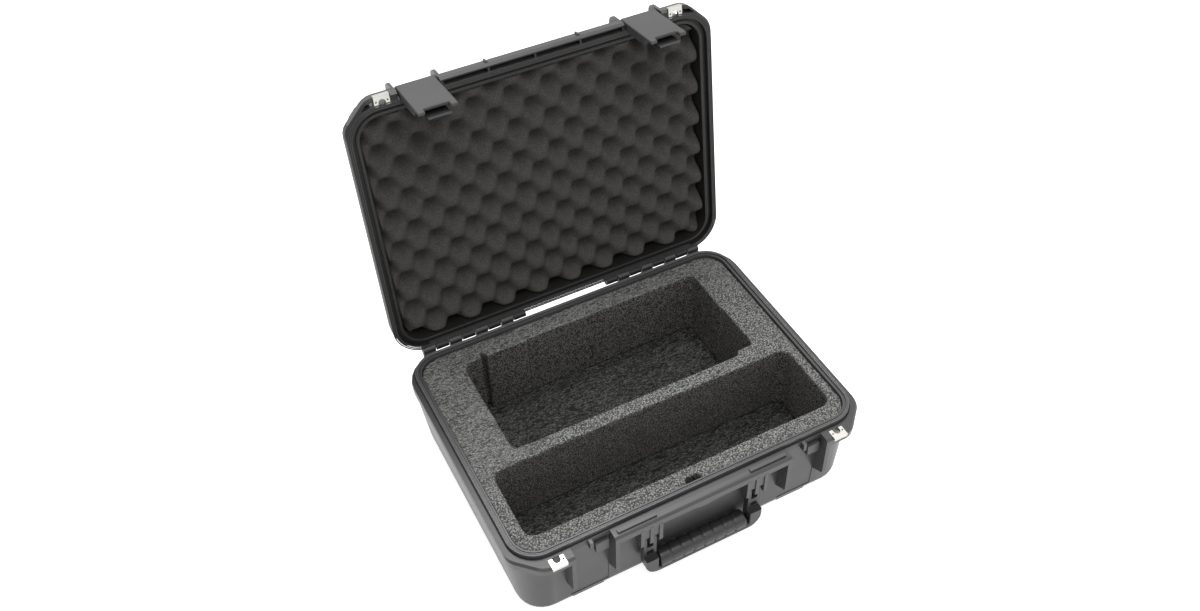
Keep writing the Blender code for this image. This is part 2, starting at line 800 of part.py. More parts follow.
def padlock_plate(sign, leaf_low, leaf_high, lip_low, lip_high):
    middle = sign * padlock_offset
    half = padlock_plate_width / 2
    front = shelf_y - clearance
    leaf_back = shelf_y + padlock_plate_length
    outline = [(front - padlock_plate_thickness, lip_low), (front, lip_low), (front, leaf_low),
               (leaf_back, leaf_low), (leaf_back, leaf_high), (front - padlock_plate_thickness, leaf_high)]
    if lip_high > leaf_high:
        outline = [(front - padlock_plate_thickness, leaf_low), (leaf_back, leaf_low), (leaf_back, leaf_high),
                   (front, leaf_high), (front, lip_high), (front - padlock_plate_thickness, lip_high)]
    return prism(outline, "X", middle - half, middle + half)


def padlock_openings(sign, low, high):
    middle = sign * padlock_offset
    start = shelf_y + padlock_hole_setback
    mouth = block((middle - padlock_hole_radius, start, low), (middle + padlock_hole_radius, start + overrun, high))
    rivets = [rod("Z", (middle + edge * padlock_rivet_offset, shelf_y + padlock_rivet_setback), padlock_rivet_radius,
                  low, high, 10) for edge in (-1, 1)]
    return [padlock_hole(sign, low, high), mouth, *rivets]


def build_padlock_plates(axis):
    base_high = flange_z - clearance
    base_low = base_high - padlock_plate_thickness
    lid_low = lid_flange_z + clearance
    lid_high = lid_low + padlock_plate_thickness
    for name, sign in sides:
        lower = make_piece("padlock_plate_base_" + name,
                           padlock_plate(sign, base_low, base_high, base_high - padlock_lip_height, base_high), stainless)
        carve(lower, *padlock_openings(sign, base_low - overrun / 2, base_high + overrun / 2))
        shade(lower)
        upper = make_piece("padlock_plate_lid_" + name,
                           padlock_plate(sign, lid_low, lid_high, lid_low, lid_low + padlock_lip_height), stainless)
        carve(upper, *padlock_openings(sign, lid_low - overrun / 2, lid_high + overrun / 2))
        shade(upper)
        hang(upper, axis)


# Latches
def latch_flange_outline(pivot):
    face = -(tongue_half_depth + latch_face_out) + latch_plate_thickness / 2
    inner = -(tongue_half_depth + latch_flange_inner)
    head = rim_z + latch_head
    foot = rim_z - latch_flange_foot
    outline = [(face, head)]
    outline += arc(pivot, latch_ear_radius, 65, 0, 3)
    outline += [(inner, pivot[1] - 2 * latch_ear_radius), (inner, foot + latch_flange_inner)]
    outline += [(inner - latch_flange_inner, foot), (face, foot)]
    return outline


def build_latch(name, sign, lid_axis):
    bay = sign * bay_offset
    pivot = (-(tongue_half_depth + latch_pivot_out), rim_z + latch_pivot_rise)
    trigger_pivot = (-(tongue_half_depth + trigger_pivot_out), rim_z - trigger_pivot_drop)
    axis = make_axis("latch_axis_" + name, (bay, *pivot), lid_axis)
    trigger_axis = make_axis("trigger_axis_" + name, (bay, *trigger_pivot), axis)
    face = -(tongue_half_depth + latch_face_out)
    head = rim_z + latch_head
    foot = head - latch_length
    half = latch_width / 2
    lever = make_piece("latch_lever_" + name, block((bay - half, face, foot), (bay + half, face + latch_plate_thickness, head)),
                       latch_plastic)
    notch = latch_notch_width / 2
    corner = latch_notch_radius
    outline = [(bay - notch, foot - overrun)]
    outline += [(x, z) for x, z in arc((bay - notch + corner, foot + latch_notch_depth - corner), corner, 180, 90, 3)]
    outline += [(x, z) for x, z in arc((bay + notch - corner, foot + latch_notch_depth - corner), corner, 90, 0, 3)]
    outline.append((bay + notch, foot - overrun))
    carve(lever, prism(outline, "Y", face - overrun, face + overrun))
    soften(lever, latch_edge_round)
    flanges = []
    for edge in (-1, 1):
        outer = bay + edge * (half - clearance)
        inner = outer - edge * latch_flange_thickness
        flanges.append(prism(latch_flange_outline(pivot), "X", min(outer, inner), max(outer, inner)))
    fuse(lever, *flanges)
    carve(lever, rod("X", pivot, latch_pin_radius + clearance, bay - half - overrun, bay + half + overrun),
          rod("X", trigger_pivot, trigger_pin_radius + clearance, bay - half - overrun, bay + half + overrun, 12))
    shade(lever)
    hang(lever, axis)
    reach = lid_bay_half_width + lid_rib_thickness - clearance
    pin = make_piece("latch_pin_" + name, rod("X", pivot, latch_pin_radius, bay - reach, bay + reach, 12), stainless)
    shade(pin)
    hang(pin, lid_axis)
    reach = half - 2 * clearance
    pin = make_piece("trigger_pin_" + name, rod("X", trigger_pivot, trigger_pin_radius, bay - reach, bay + reach, 12), stainless)
    shade(pin)
    hang(pin, axis)
    build_trigger(name, bay, trigger_pivot, trigger_axis)


def trigger_tab_outline(pivot):
    front = pivot[0] + trigger_tab_set
    back = front + trigger_thickness
    foot = rim_z - trigger_foot
    bend = foot + trigger_lip_height
    shoulder = pivot[1] - 2 * trigger_boss_radius
    return [(pivot[0] - trigger_boss_radius / 2, pivot[1]), (front, shoulder), (front, bend),
            (front - trigger_lip_curl, foot), (back - trigger_lip_curl, foot), (back, bend), (back, shoulder),
            (pivot[0] + trigger_boss_radius / 2, pivot[1])]


def trigger_hook_outline(pivot):
    head = rim_z - catch_plate_foot - 2 * clearance
    foot = head - trigger_hook_height
    bite = -(tongue_half_depth + catch_plate_proud) + trigger_hook_bite
    return [(pivot[0] + clearance, head), (pivot[0] - trigger_boss_radius / 2, pivot[1] + trigger_boss_radius / 2),
            (pivot[0] + trigger_boss_radius / 2, pivot[1]), (pivot[0] + trigger_boss_radius, foot),
            (bite, foot + trigger_hook_height / 3), (bite, head)]


def build_trigger(name, bay, pivot, axis):
    half = trigger_width / 2
    tab = trigger_tab_width / 2
    trigger = make_piece("latch_trigger_" + name, prism(trigger_tab_outline(pivot), "X", bay - tab, bay + tab), latch_plastic)
    hook = bay + trigger_hook_offset
    fuse(trigger, rod("X", pivot, trigger_boss_radius, bay - half, bay + half, 16),
         prism(trigger_hook_outline(pivot), "X", hook - trigger_hook_width / 2, hook + trigger_hook_width / 2))
    carve(trigger, rod("X", pivot, trigger_pin_radius + clearance, bay - half - overrun, bay + half + overrun, 12))
    shade(trigger)
    hang(trigger, axis)


# Carrying handle
def handle_outline(bottom):
    outer = handle_offset + handle_fork_width / 2
    inner = handle_offset - handle_fork_width / 2
    top = rim_z - handle_pivot_drop
    bar = bottom + handle_bar_height
    outline = [(-outer, top)]
    outline += arc((-outer + handle_corner_radius, bottom + handle_corner_radius), handle_corner_radius, 180, 270, 5)
    outline += arc((outer - handle_corner_radius, bottom + handle_corner_radius), handle_corner_radius, 270, 360, 5)
    outline += [(outer, top), (inner, top)]
    outline += arc((inner - handle_inner_radius, bar + handle_inner_radius), handle_inner_radius, 0, -90, 3)
    outline += arc((-inner + handle_inner_radius, bar + handle_inner_radius), handle_inner_radius, -90, -180, 3)
    outline.append((-inner, top))
    return outline


def build_handle():
    pivot = (-(tongue_half_depth + handle_pivot_out), rim_z - handle_pivot_drop)
    axis = make_axis("handle_axis", (0.0, *pivot))
    bottom = pivot[1] - handle_drop
    front = -(tongue_half_depth + handle_proud) - clearance
    back = front + handle_thickness
    frame = make_piece("handle_frame", prism(handle_outline(bottom), "Y", front, back), shell_plastic)
    soften(frame, handle_edge_round, 2, 60.0)
    cuts = [block((-handle_offset - handle_fork_width, front - overrun, pivot[1] - handle_front_cut),
                  (handle_offset + handle_fork_width, pivot[0] - handle_finger_radius, pivot[1] + overrun)),
            block((-handle_offset - handle_fork_width, pivot[0] + handle_finger_radius, pivot[1] - handle_slot_foot),
                  (handle_offset + handle_fork_width, back + overrun, pivot[1] + overrun))]
    slot_half = handle_fork_width / 2 - handle_finger_thickness
    fingers = []
    for name, sign in sides:
        middle = sign * handle_offset
        cuts.append(block((middle - slot_half, front - overrun, pivot[1] - handle_slot_foot),
                          (middle + slot_half, back + overrun, pivot[1] + overrun)))
        cuts.append(block((middle - slot_half, front - overrun, pivot[1] - handle_window_foot),
                          (middle + slot_half, back + overrun, pivot[1] - handle_window_head)))
        for edge in (-1, 1):
            outer = middle + edge * handle_fork_width / 2
            inner = outer - edge * handle_finger_thickness
            fingers.append(rod("X", pivot, handle_finger_radius, min(outer, inner), max(outer, inner), 20))
    carve(frame, *cuts)
    fuse(frame, *fingers)
    reach = handle_offset + handle_fork_width
    carve(frame, rod("X", pivot, handle_pin_radius + clearance, -reach, reach))
    shade(frame)
    hang(frame, axis)
    build_grip(axis, -(tongue_half_depth + grip_out), bottom)
    for name, sign in sides:
        middle = sign * handle_offset
        reach = tine_pitch + tine_thickness / 2 - clearance
        pin = make_piece("handle_pin_" + name, rod("X", pivot, handle_pin_radius, middle - reach, middle + reach, 12), stainless)
        shade(pin)


def build_grip(axis, middle_y, bottom):
    centre = (middle_y, bottom + grip_radius)
    pitch = 2 * (grip_half_length - grip_end_round) / (grip_rings + 1)
    profile = [(-grip_half_length, grip_radius - grip_end_round)]
    profile += [(-grip_half_length + grip_end_round / 3, grip_radius - grip_end_round / 3)]
    profile += [(-grip_half_length + grip_end_round, grip_radius)]
    for index in range(grip_rings):
        place_x = -grip_half_length + grip_end_round + pitch * (index + 1)
        profile += [(place_x - grip_ring_width / 2, grip_radius), (place_x, grip_radius - grip_ring_depth),
                    (place_x + grip_ring_width / 2, grip_radius)]
    profile += [(-x, radius) for x, radius in reversed(profile[:3])]
    rings = []
    for x, radius in profile:
        rings.append([(x, centre[0] + radius * math.cos(2 * math.pi * step / grip_sides),
                       centre[1] + radius * math.sin(2 * math.pi * step / grip_sides)) for step in range(grip_sides)])
    grip = make_piece("handle_grip", loft(rings), grip_rubber)
    carve(grip, block((-handle_offset, centre[0] - 2 * grip_radius, bottom - overrun),
                      (handle_offset, centre[0] + 2 * grip_radius, bottom + handle_bar_height + clearance)))
    shade(grip)
    hang(grip, axis)


# Pressure valve through the front wall
def build_valve():
    height = rim_z - valve_drop
    outside = -(tongue_half_depth + wall_head_front) - valve_boss_rise
    inside = -(tongue_half_depth - rim_inset) + valve_boss_rise
    valve = make_piece("pressure_valve", rod("Y", (0.0, height), valve_flange_radius, outside - clearance - valve_flange_thickness,
                                             outside - clearance, 20), shell_plastic)
    fuse(valve, rod("Y", (0.0, height), valve_stem_radius, outside - valve_flange_thickness / 2,
                    inside + valve_nut_thickness, 20))
    shade(valve)
    nut = make_piece("valve_nut", rod("Y", (0.0, height), valve_nut_radius, inside + clearance, inside + valve_nut_thickness, 6),
                     shell_plastic)
    carve(nut, rod("Y", (0.0, height), valve_stem_radius + clearance, inside - overrun, inside + overrun, 20))
    shade(nut)


# Foam
def rounded_pocket(left, right, front, back):
    radius = pocket_radius
    outline = arc((left + radius, front + radius), radius, 180, 270, pocket_corner_steps)
    outline += arc((right - radius, front + radius), radius, 270, 360, pocket_corner_steps)
    outline += arc((right - radius, back - radius), radius, 0, 90, pocket_corner_steps)
    outline += arc((left + radius, back - radius), radius, 90, 180, pocket_corner_steps)
    return outline


def rear_pocket_outline():
    left = rear_pocket_left
    right = rear_pocket_right
    front = rear_pocket_front
    back = rear_pocket_back
    step_x = right - rear_pocket_step_length
    jog_x = right + rear_pocket_jog
    outline = arc((left + pocket_radius, front + pocket_radius), pocket_radius, 180, 270, pocket_corner_steps)
    outline += [(step_x, front), (step_x + rear_pocket_jog, front + rear_pocket_step), (jog_x, front + rear_pocket_step)]
    outline += [(jog_x, rear_pocket_jog_place), (right, rear_pocket_jog_place + rear_pocket_jog)]
    outline += arc((right - pocket_radius / 2, back - pocket_radius / 2), pocket_radius / 2, 0, 90, 2)
    outline += [(rear_panel_end, back), (rear_panel_end, back - rear_panel_step)]
    outline += [(rear_slot_left + rear_slot_width, back - rear_panel_step)]
    outline += [(rear_slot_left + rear_slot_width, back + rear_slot_depth), (rear_slot_left, back + rear_slot_depth)]
    outline += [(rear_slot_left, back - rear_panel_step), (left + pocket_radius / 2, back - rear_panel_step)]
    outline.append((left, back - pocket_radius))
    return outline


def build_base_foam():
    pad_low = floor_z + clearance
    pad_high = pad_low + floor_pad_thickness
    inner_foot = -(rim_inset + inner_draft)
    pad_rings = [ring(inner_foot - inner_radius - clearance, pad_low),
                 ring(inner_foot - foam_gap - clearance, floor_z + inner_radius), ring(inner_foot - foam_gap, pad_high)]
    pad = make_piece("foam_floor_pad", loft(pad_rings), block_foam)
    shade(pad)
    low = pad_high + clearance
    high = rim_z - foam_recess
    foam = make_piece("base_foam", loft([ring(inner_foot - foam_gap, low), ring(-rim_inset - foam_gap, high)]), block_foam)
    notch_y = -(tongue_half_depth - rim_inset)
    carve(foam, prism(rounded_pocket(front_pocket_left, front_pocket_right, front_pocket_front, front_pocket_back), "Z",
                      low - overrun, high + overrun),
          prism(rear_pocket_outline(), "Z", low - overrun, high + overrun),
          block((-valve_notch_width / 2, notch_y - overrun, high - valve_notch_depth),
                (valve_notch_width / 2, notch_y + valve_notch_length, high + overrun)))
    shade(foam)


def build_lid_foam(axis):
    high = lid_top_z - wall_thickness - clearance
    valley = high - lid_foam_base
    half_length = tongue_half_length
    half_depth = tongue_half_depth
    count_x = math.ceil(2 * half_length / foam_wave_length * foam_wave_samples)
    count_y = math.ceil(2 * half_depth / foam_wave_depth * foam_wave_samples)
    step_x = foam_wave_length / foam_wave_samples
    step_y = foam_wave_depth / foam_wave_samples
    start_x = foam_wave_shift - math.ceil((half_length + foam_wave_shift) / step_x) * step_x
    start_y = half_depth - foam_wave_inset - count_y * step_y
    waves = bmesh.new()
    bmesh.ops.create_grid(waves, x_segments=count_x + 1, y_segments=count_y + 1, size=1.0)
    span_x = (count_x + 1) * step_x
    span_y = (count_y + 1) * step_y
    for vert in waves.verts:
        x = start_x + span_x / 2 + vert.co.x * span_x / 2
        y = start_y + span_y / 2 + vert.co.y * span_y / 2
        wave = math.cos(2 * math.pi * (x - foam_wave_shift) / foam_wave_length)
        wave *= math.cos(2 * math.pi * (y - half_depth + foam_wave_inset) / foam_wave_depth)
        vert.co = (x, y, valley - lid_foam_peak * (1 + wave) / 2)
    grown = bmesh.ops.extrude_face_region(waves, geom=list(waves.faces))["geom"]
    for item in grown:
        if isinstance(item, bmesh.types.BMVert):
            item.co.z = high + overrun
    bmesh.ops.recalc_face_normals(waves, faces=waves.faces)
    edge = -(rim_inset + inner_draft) - lid_foam_inset
    low = valley - lid_foam_peak
    foam = make_piece("lid_foam", loft([ring(edge - inner_radius, high), ring(edge, high - inner_radius),
                                        ring(edge, low - overrun / 2)]), wave_foam)
    boolean(foam, [waves], "INTERSECT")
    shade(foam, 80.0)
    hang(foam, axis)


def build_case():
    lid_axis = make_axis("lid_axis", (0.0, hinge_y, rim_z))
    build_base_shell()
    build_lid_shell(lid_axis)
    build_gasket(lid_axis)
    build_hinge_pins()
    build_padlock_plates(lid_axis)
    for name, sign in sides:
        build_latch(name, sign, lid_axis)
    build_handle()
    build_valve()
    build_base_foam()
    build_lid_foam(lid_axis)
    lid_axis.rotation_euler.x = -math.radians(lid_open_degrees)


build_case()
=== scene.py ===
import math

import bmesh
import bpy
import numpy as np
from mathutils import Euler, Matrix, Vector, noise


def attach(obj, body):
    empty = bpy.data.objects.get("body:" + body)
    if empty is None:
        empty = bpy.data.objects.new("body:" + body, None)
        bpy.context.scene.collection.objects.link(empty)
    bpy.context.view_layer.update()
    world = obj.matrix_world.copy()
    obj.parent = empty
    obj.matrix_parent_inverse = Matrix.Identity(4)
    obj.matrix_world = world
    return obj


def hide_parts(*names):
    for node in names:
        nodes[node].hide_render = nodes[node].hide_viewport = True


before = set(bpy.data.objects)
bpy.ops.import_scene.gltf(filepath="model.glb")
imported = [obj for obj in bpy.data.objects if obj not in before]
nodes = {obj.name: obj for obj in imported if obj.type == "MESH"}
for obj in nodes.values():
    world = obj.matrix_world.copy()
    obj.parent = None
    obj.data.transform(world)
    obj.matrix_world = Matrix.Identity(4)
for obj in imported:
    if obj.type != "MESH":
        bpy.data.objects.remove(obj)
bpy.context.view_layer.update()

rimHeight = 0.134
hingeY = 0.1967
lidAngle = math.radians(98.0)


# Camera, lights and floor
camera = {
    "place": (-0.50529, -0.93327, 1.37939),
    "turn": (46.0317, 0.4681, -28.1708),
    "lens": 35.72,
    "sensor": 36.0,
    "shift": (-0.01528, -0.02972),
    "nearest": 0.01,
}


def addCamera():
    data = bpy.data.cameras.new("camera")
    data.lens = camera["lens"]
    data.sensor_width = camera["sensor"]
    data.shift_x, data.shift_y = camera["shift"]
    data.clip_start = camera["nearest"]
    eye = bpy.data.objects.new("camera", data)
    eye.location = camera["place"]
    eye.rotation_euler = Euler([math.radians(a) for a in camera["turn"]])
    bpy.context.scene.collection.objects.link(eye)
    bpy.context.scene.camera = eye


studio = {
    "world": 0.44,
    "key": {"place": (-0.2, -1.1, 2.5), "size": 1.5, "power": 20.0},
    "fill": {"place": (1.7, -1.3, 1.2), "size": 1.8, "power": 4.0},
    "top": {"place": (0.15, 0.95, 2.5), "size": 1.2, "power": 44.0},
    "aim": (0.0, 0.0, 0.12),
    "floorSize": 14.0,
    "floorHeight": -0.0004,
    "floorRoughness": 0.9,
    "floorGrey": 0.80,
    "floorGlow": 0.78,
}


def addLamp(name, spec):
    data = bpy.data.lights.new(name, "AREA")
    data.shape = "SQUARE"
    data.size = spec["size"]
    data.energy = spec["power"]
    lamp = bpy.data.objects.new(name, data)
    lamp.location = spec["place"]
    aim = Vector(studio["aim"]) - lamp.location
    lamp.rotation_euler = aim.to_track_quat("-Z", "Y").to_euler()
    bpy.context.scene.collection.objects.link(lamp)


def seenDirectly(tree):
    path = tree.nodes.new("ShaderNodeLightPath")
    mirrored = calc(tree, "MAXIMUM", path.outputs["Is Camera Ray"], path.outputs["Is Glossy Ray"])
    return calc(tree, "MAXIMUM", mirrored, path.outputs["Is Transmission Ray"])


def addStudio():
    world = bpy.data.worlds.new("studio")
    bpy.context.scene.world = world
    world.use_nodes = True
    tree = world.node_tree
    back = tree.nodes["Background"]
    back.inputs["Color"].default_value = (1, 1, 1, 1)
    level = tree.nodes.new("ShaderNodeMapRange")
    level.inputs["To Min"].default_value = studio["world"]
    level.inputs["To Max"].default_value = 1.0
    tree.links.new(seenDirectly(tree), level.inputs["Value"])
    tree.links.new(level.outputs["Result"], back.inputs["Strength"])
    for name in ("key", "fill", "top"):
        addLamp(name, studio[name])
    plane = bmesh.new()
    bmesh.ops.create_grid(plane, x_segments=1, y_segments=1, size=studio["floorSize"] / 2)
    mesh = bpy.data.meshes.new("floor")
    plane.to_mesh(mesh)
    plane.free()
    floor = bpy.data.objects.new("floor", mesh)
    floor.location.z = studio["floorHeight"]
    bpy.context.scene.collection.objects.link(floor)
    material = bpy.data.materials.new("floorPaint")
    material.use_nodes = True
    tree = material.node_tree
    paint = tree.nodes["Principled BSDF"]
    paint.inputs["Base Color"].default_value = (studio["floorGrey"],) * 3 + (1,)
    paint.inputs["Roughness"].default_value = studio["floorRoughness"]
    glow = tree.nodes.new("ShaderNodeEmission")
    both = tree.nodes.new("ShaderNodeAddShader")
    seen = seenDirectly(tree)
    tree.links.new(calc(tree, "MULTIPLY", seen, studio["floorGlow"]), glow.inputs["Strength"])
    tree.links.new(paint.outputs[0], both.inputs[0])
    tree.links.new(glow.outputs[0], both.inputs[1])
    tree.links.new(both.outputs[0], tree.nodes["Material Output"].inputs["Surface"])
    mesh.materials.append(material)


# Node materials, all in Object coordinates
def feed(tree, socket, value):
    if isinstance(value, (int, float)):
        socket.default_value = value
    else:
        tree.links.new(value, socket)


def calc(tree, operation, *values):
    node = tree.nodes.new("ShaderNodeMath")
    node.operation = operation
    for socket, value in zip(node.inputs, values):
        feed(tree, socket, value)
    return node.outputs[0]


def newMaterial(name, roughness, metallic=0.0):
    material = bpy.data.materials.new(name)
    material.use_nodes = True
    shader = material.node_tree.nodes["Principled BSDF"]
    shader.inputs["Roughness"].default_value = roughness
    shader.inputs["Metallic"].default_value = metallic
    return material, material.node_tree, shader


def placeTexture(tree, texture, stretch=(1, 1, 1)):
    place = tree.nodes.new("ShaderNodeTexCoord")
    mapping = tree.nodes.new("ShaderNodeMapping")
    mapping.inputs["Scale"].default_value = stretch
    tree.links.new(place.outputs["Object"], mapping.inputs["Vector"])
    tree.links.new(mapping.outputs[0], texture.inputs["Vector"])


def addNoise(tree, scale, detail, roughness, stretch=(1, 1, 1), distortion=0.0):
    clouds = tree.nodes.new("ShaderNodeTexNoise")
    clouds.inputs["Scale"].default_value = scale
    clouds.inputs["Detail"].default_value = detail
    clouds.inputs["Roughness"].default_value = roughness
    clouds.inputs["Distortion"].default_value = distortion
    placeTexture(tree, clouds, stretch)
    return clouds


def addCells(tree, scale):
    cells = tree.nodes.new("ShaderNodeTexVoronoi")
    cells.inputs["Scale"].default_value = scale
    placeTexture(tree, cells)
    return cells


def addRamp(tree, source, stops):
    ramp = tree.nodes.new("ShaderNodeValToRGB")
    band = ramp.color_ramp
    while len(band.elements) < len(stops):
        band.elements.new(0.5)
    for element, (place, colour) in zip(band.elements, stops):
        element.position = place
        grey = colour if isinstance(colour, tuple) else (colour, colour, colour)
        element.color = (*grey, 1.0)
    tree.links.new(source, ramp.inputs["Fac"])
    return ramp


def addBump(tree, shader, sources):
    last = None
    for height, strength, distance in sources:
        bump = tree.nodes.new("ShaderNodeBump")
        bump.inputs["Strength"].default_value = strength
        bump.inputs["Distance"].default_value = distance
        tree.links.new(height, bump.inputs["Height"])
        if last:
            tree.links.new(last.outputs["Normal"], bump.inputs["Normal"])
        last = bump
    tree.links.new(last.outputs["Normal"], shader.inputs["Normal"])


finishes = {   # dark, light, roughness, shine
    "shell": ((0.048, 0.048, 0.050), (0.062, 0.062, 0.064), 0.36, 0.55),
    # rim row is painted shade and band row painted highlight: darker and lighter copies of the shell plastic
    "rim": ((0.038, 0.038, 0.039), (0.050, 0.050, 0.051), 0.40, 0.5),
    "band": ((0.062, 0.062, 0.064), (0.078, 0.078, 0.080), 0.40, 0.5),
    # ridge row is painted highlight, a lighter copy of the rim plastic; lidRidge row is darker than the shell
    # as painted shade and lighter than the lid rim as painted highlight
    "ridge": ((0.100, 0.100, 0.104), (0.125, 0.125, 0.129), 0.30, 0.7),
    "lidRidge": ((0.020, 0.0195, 0.0185), (0.028, 0.0275, 0.0260), 0.36, 0.5),
    # lidRim row: painted shade, a darker copy of the shell plastic for the lid's underside, skirt sides and
    # inside
    "lidRim": ((0.0125, 0.0120, 0.0112), (0.0190, 0.0184, 0.0172), 0.46, 0.35),
    "latch": ((0.046, 0.046, 0.047), (0.058, 0.058, 0.059), 0.50, 0.5),
    "frame": ((0.032, 0.032, 0.033), (0.043, 0.043, 0.044), 0.36, 0.5),
    # trigger row: painted shade, near-black for the tab sunk in its recess
    "trigger": ((0.012, 0.012, 0.012), (0.018, 0.018, 0.018), 0.45, 0.3),
    "rubber": ((0.008, 0.008, 0.008), (0.012, 0.012, 0.012), 0.50, 0.3),
    "grip": ((0.022, 0.022, 0.022), (0.033, 0.032, 0.032), 0.29, 0.6),
}
plasticGrain = {
    "cloudScale": 9.0, "darkStop": 0.35, "lightStop": 0.68,
    "fineScale": 2400.0, "fineStrength": 0.35, "fineDepth": 0.00003,
    "wideScale": 55.0, "wideStrength": 0.10, "wideDepth": 0.0004,
    "roughScale": 30.0, "smoother": 0.05, "rougher": 0.07,
}


def mouldedPlastic(name, kind):
    dark, light, roughness, shine = finishes[kind]
    grain = plasticGrain
    material, tree, shader = newMaterial(name, roughness)
    clouds = addNoise(tree, grain["cloudScale"], 5.0, 0.55)
    tint = addRamp(tree, clouds.outputs["Fac"], [(grain["darkStop"], dark), (grain["lightStop"], light)])
    tree.links.new(tint.outputs["Color"], shader.inputs["Base Color"])
    fine = addNoise(tree, grain["fineScale"], 2.0, 0.5)
    wide = addNoise(tree, grain["wideScale"], 2.0, 0.5)
    addBump(tree, shader, [(fine.outputs["Fac"], grain["fineStrength"], grain["fineDepth"]),
                           (wide.outputs["Fac"], grain["wideStrength"], grain["wideDepth"])])
    rough = addNoise(tree, grain["roughScale"], 4.0, 0.6)
    level = tree.nodes.new("ShaderNodeMapRange")
    level.inputs["To Min"].default_value = roughness - grain["smoother"]
    level.inputs["To Max"].default_value = roughness + grain["rougher"]
    tree.links.new(rough.outputs["Fac"], level.inputs["Value"])
    tree.links.new(level.outputs["Result"], shader.inputs["Roughness"])
    shader.inputs["Specular IOR Level"].default_value = shine
    return material


metals = {
    "sheet": {"roughness": 0.38, "dark": (0.50, 0.49, 0.455), "light": (0.64, 0.63, 0.595)},
    "pin": {"roughness": 0.42, "dark": (0.100, 0.086, 0.080), "light": (0.230, 0.195, 0.180)},
    "grain": {"scale": 60.0, "stretch": (1, 20, 20), "strength": 0.15, "depth": 0.0001},
}


def brushedMetal(name, kind):
    spec = metals[kind]
    brush = metals["grain"]
    material, tree, shader = newMaterial(name, spec["roughness"], 1.0)
    grain = addNoise(tree, brush["scale"], 3.0, 0.6, brush["stretch"])
    tint = addRamp(tree, grain.outputs["Fac"], [(0.3, spec["dark"]), (0.7, spec["light"])])
    tree.links.new(tint.outputs["Color"], shader.inputs["Base Color"])
    addBump(tree, shader, [(grain.outputs["Fac"], brush["strength"], brush["depth"])])
    return material


foamLook = {
    "top": {"cell": 450.0, "dark": (0.036, 0.037, 0.035), "middle": (0.118, 0.120, 0.115),
            "light": (0.360, 0.365, 0.350), "crease": "part", "wormStrength": 0.7},
    "wall": {"cell": 500.0, "dark": (0.016, 0.0155, 0.015), "middle": (0.082, 0.078, 0.075),
             "light": (0.300, 0.290, 0.280), "crease": "none", "wormStrength": 0.3},
    "floor": {"cell": 330.0, "dark": (0.005, 0.006, 0.004), "middle": (0.030, 0.032, 0.028),
              "light": (0.150, 0.155, 0.142), "crease": "all", "wormStrength": 0.7},
    "roughness": 0.75, "shine": 0.35, "stops": (0.30, 0.58, 0.90),
    "grainSize": 1.7, "grainShare": 0.50, "wormSize": 0.30, "wormShare": -0.30, "wormTwist": 1.8,
    "creaseStretch": (0.55, 1.6, 1.0), "foldSharpness": 6.5, "foldShare": -1.00,
    "foldCells": 0.35, "foldBase": 0.72,
    "wormDepth": 0.0016, "cellStrength": 0.5, "cellDepth": 0.0009, "grainStrength": 0.3, "grainDepth": 0.0005,
    "creaseEdge": {"left": (-0.120, 0.05), "rear": (0.105, 0.03), "front": (-0.09, 0.08)},
    "seam": {"x": -0.084, "behind": 0.130, "width": 0.0007, "shade": 0.35},
}


def clamped(tree, value):
    return calc(tree, "MINIMUM", calc(tree, "MAXIMUM", value, 0.0), 1.0)


def splitPlace(tree):
    place = tree.nodes.new("ShaderNodeTexCoord")
    parts = tree.nodes.new("ShaderNodeSeparateXYZ")
    tree.links.new(place.outputs["Object"], parts.inputs[0])
    return parts.outputs[:2]


def creaseShare(tree, kind):   # creases show all over the floor, and on the left and rear of the top
    if kind != "part":
        return 1.0 if kind == "all" else 0.0
    edge = foamLook["creaseEdge"]
    x, y = splitPlace(tree)
    left = calc(tree, "DIVIDE", calc(tree, "SUBTRACT", edge["left"][0], x), edge["left"][1])
    rear = calc(tree, "DIVIDE", calc(tree, "SUBTRACT", y, edge["rear"][0]), edge["rear"][1])
    front = calc(tree, "DIVIDE", calc(tree, "SUBTRACT", y, edge["front"][0]), edge["front"][1])
    return calc(tree, "MULTIPLY", clamped(tree, calc(tree, "MAXIMUM", left, rear)), clamped(tree, front))


def seamShade(tree, colour):
    seam = foamLook["seam"]
    x, y = splitPlace(tree)
    away = calc(tree, "ABSOLUTE", calc(tree, "SUBTRACT", x, seam["x"]))
    near = calc(tree, "LESS_THAN", away, seam["width"])
    onSeam = calc(tree, "MULTIPLY", near, calc(tree, "GREATER_THAN", y, seam["behind"]))
    level = calc(tree, "SUBTRACT", 1.0, calc(tree, "MULTIPLY", onSeam, 1.0 - seam["shade"]))
    scale = tree.nodes.new("ShaderNodeVectorMath")
    scale.operation = "SCALE"
    tree.links.new(colour, scale.inputs[0])
    tree.links.new(level, scale.inputs["Scale"])
    return scale.outputs[0]


